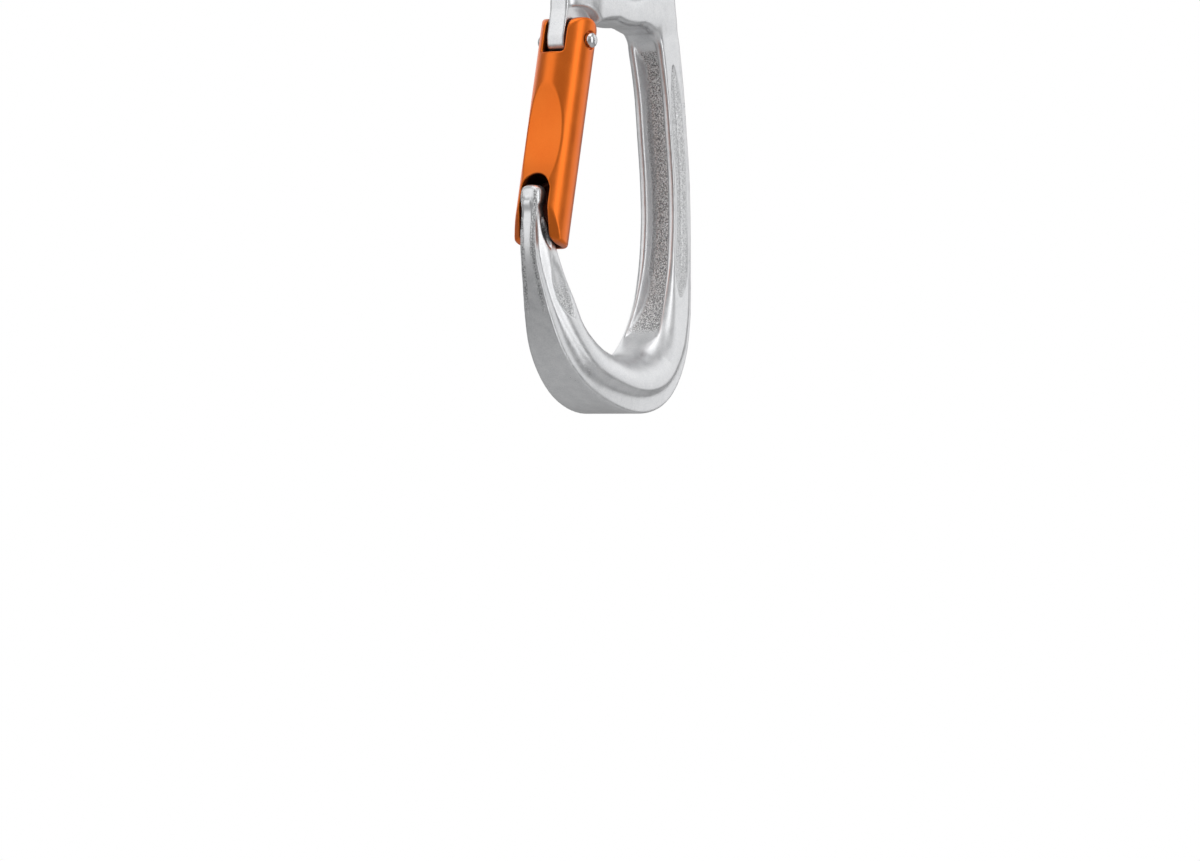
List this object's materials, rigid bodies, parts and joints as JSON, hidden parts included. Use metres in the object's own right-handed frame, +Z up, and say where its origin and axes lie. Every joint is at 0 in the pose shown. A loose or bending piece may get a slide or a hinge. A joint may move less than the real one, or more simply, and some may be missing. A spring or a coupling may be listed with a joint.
{
  "type": "climbing quickdraw",
  "caption": "Quickdraw hanging in use: carabiner for a bolt, sewn webbing sling and a closed-eye connector with a wide rope basket, both with sprung solid gates.",
  "frame": {"origin": "the point inside the top bow of the bolt-end carabiner where a bolt hanger bears", "axes": "+Z up along the hanging quickdraw, +X from the gates to the spines, +Y across the flat of both connectors"},
  "size_m": [0.0625, 0.018, 0.3138],
  "materials": {
    "aluminium": "forged and tumbled, satin",
    "anodised": "satin orange anodising",
    "steel": "polished",
    "webbing": "woven webbing",
    "thread": "dense zigzag stitching",
    "label": "plain woven tape"
  },
  "bodies": {
    "bolt_frame": {"bolt_frame": "aluminium"},
    "bolt_gate": {"bolt_gate": "anodised", "bolt_gate_rivet": "steel", "bolt_gate_spring": "steel"},
    "bolt_plunger": {"bolt_gate_plunger": "steel"},
    "sling": {"sling_webbing": "webbing", "sling_label": "label", "upper_bartack_front": "thread", "upper_bartack_back": "thread", "lower_bartack_front": "thread", "lower_bartack_back": "thread"},
    "rope_frame": {"rope_frame": "aluminium"},
    "rope_gate": {"rope_gate": "anodised", "rope_gate_rivet": "steel", "rope_gate_spring": "steel"},
    "rope_plunger": {"rope_gate_plunger": "steel"}
  },
  "joints": [
    {"name": "bolt_gate_hinge", "type": "hinge", "parent": "bolt_frame", "child": "bolt_gate", "pos_m": [-0.0154, 0, -0.0734], "axis": [0, 1, 0], "range_deg": [0, 35], "stiffness_Nm_per_rad": 0.3, "springref_deg": -22.92},
    {"name": "bolt_plunger_slide", "type": "slide", "parent": "bolt_gate", "child": "bolt_plunger", "axis": [-0.1994, 0, 0.9799], "range_m": [0, 0.0009], "deforming": ["bolt_gate_spring"]},
    {"name": "sling_swing", "type": "hinge", "parent": "bolt_frame", "child": "sling", "pos_m": [0, 0, -0.0867], "axis": [1, 0, 0], "range_deg": [-20, 20]},
    {"name": "connector_swing", "type": "hinge", "parent": "sling", "child": "rope_frame", "pos_m": [0, 0, -0.20246], "axis": [0, 1, 0], "range_deg": [-45, 45]},
    {"name": "rope_gate_hinge", "type": "hinge", "parent": "rope_frame", "child": "rope_gate", "pos_m": [-0.0193, 0, -0.22356], "axis": [0, -1, 0], "range_deg": [0, 35], "stiffness_Nm_per_rad": 0.35, "springref_deg": -22.92},
    {"name": "rope_plunger_slide", "type": "slide", "parent": "rope_gate", "child": "rope_plunger", "axis": [-0.2419, 0, -0.9703], "range_m": [0, 0.0009], "deforming": ["rope_gate_spring"]}
  ],
  "couplings": [
    {"joint": "bolt_plunger_slide", "follows": "bolt_gate_hinge", "m_per_rad": 0.0014},
    {"joint": "rope_plunger_slide", "follows": "rope_gate_hinge", "m_per_rad": 0.0014}
  ]
}
